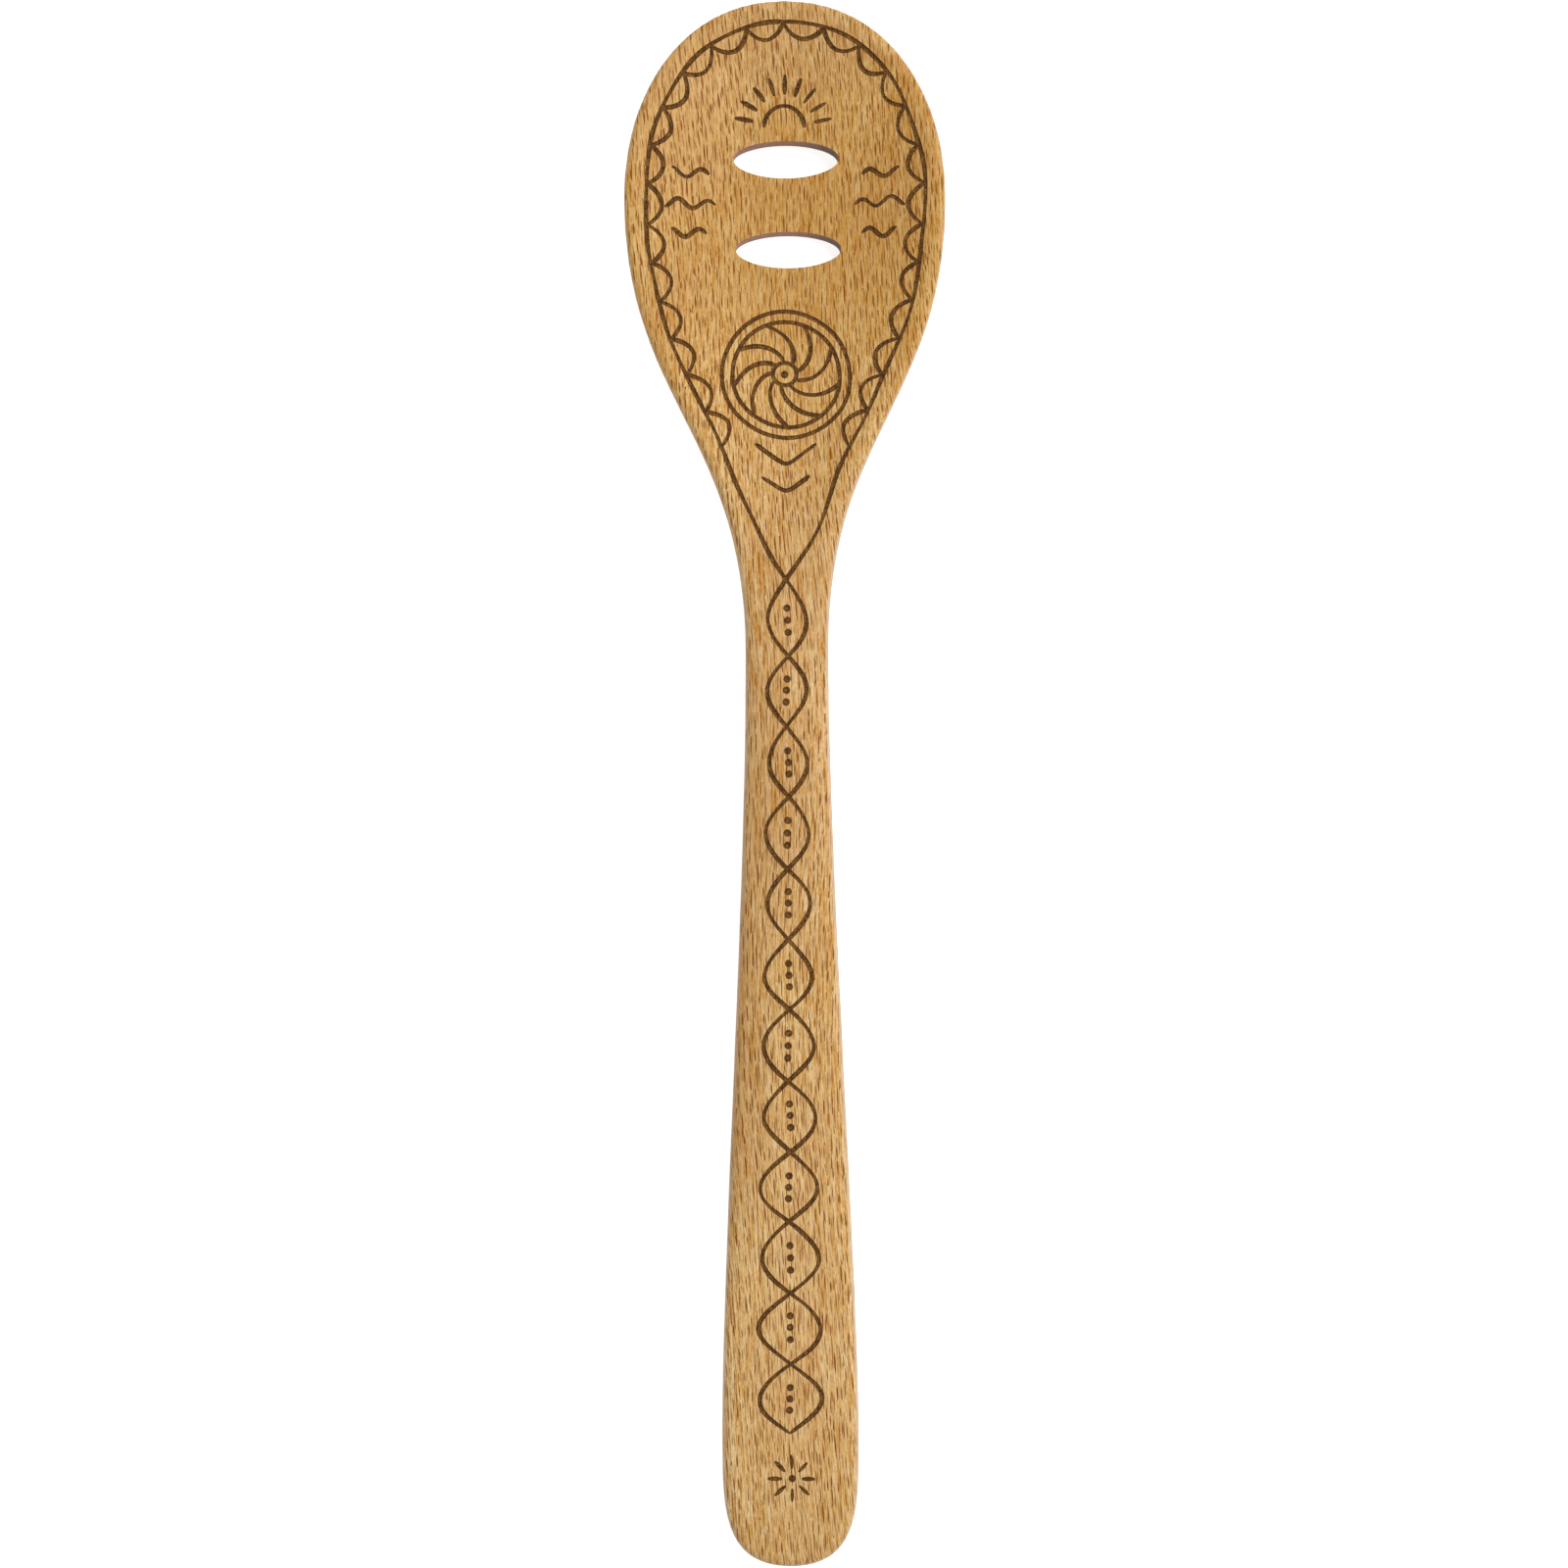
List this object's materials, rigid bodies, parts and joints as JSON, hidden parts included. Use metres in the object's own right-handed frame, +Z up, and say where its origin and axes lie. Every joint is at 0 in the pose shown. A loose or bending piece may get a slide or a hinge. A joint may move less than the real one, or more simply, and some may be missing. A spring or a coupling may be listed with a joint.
{
  "type": "slotted wooden spoon",
  "caption": "Wooden mixing and draining spoon with a shallow oval bowl, cross slots through its floor and a straight tapered handle, decorated with burnt lines.",
  "frame": {"origin": "on the resting surface, under the middle of the spoon's length and width", "axes": "+Y along the spoon towards the tip of the bowl, +X across it, +Z up out of the hollow"},
  "size_m": [0.0626, 0.305, 0.0117],
  "materials": {
    "oiled_beech": "sanded beech with a thin satin oil finish, straight grain along the spoon, and shallow burnt lines on the upper face"
  },
  "bodies": {
    "root": {"slotted_spoon": "oiled_beech"}
  },
  "joints": []
}
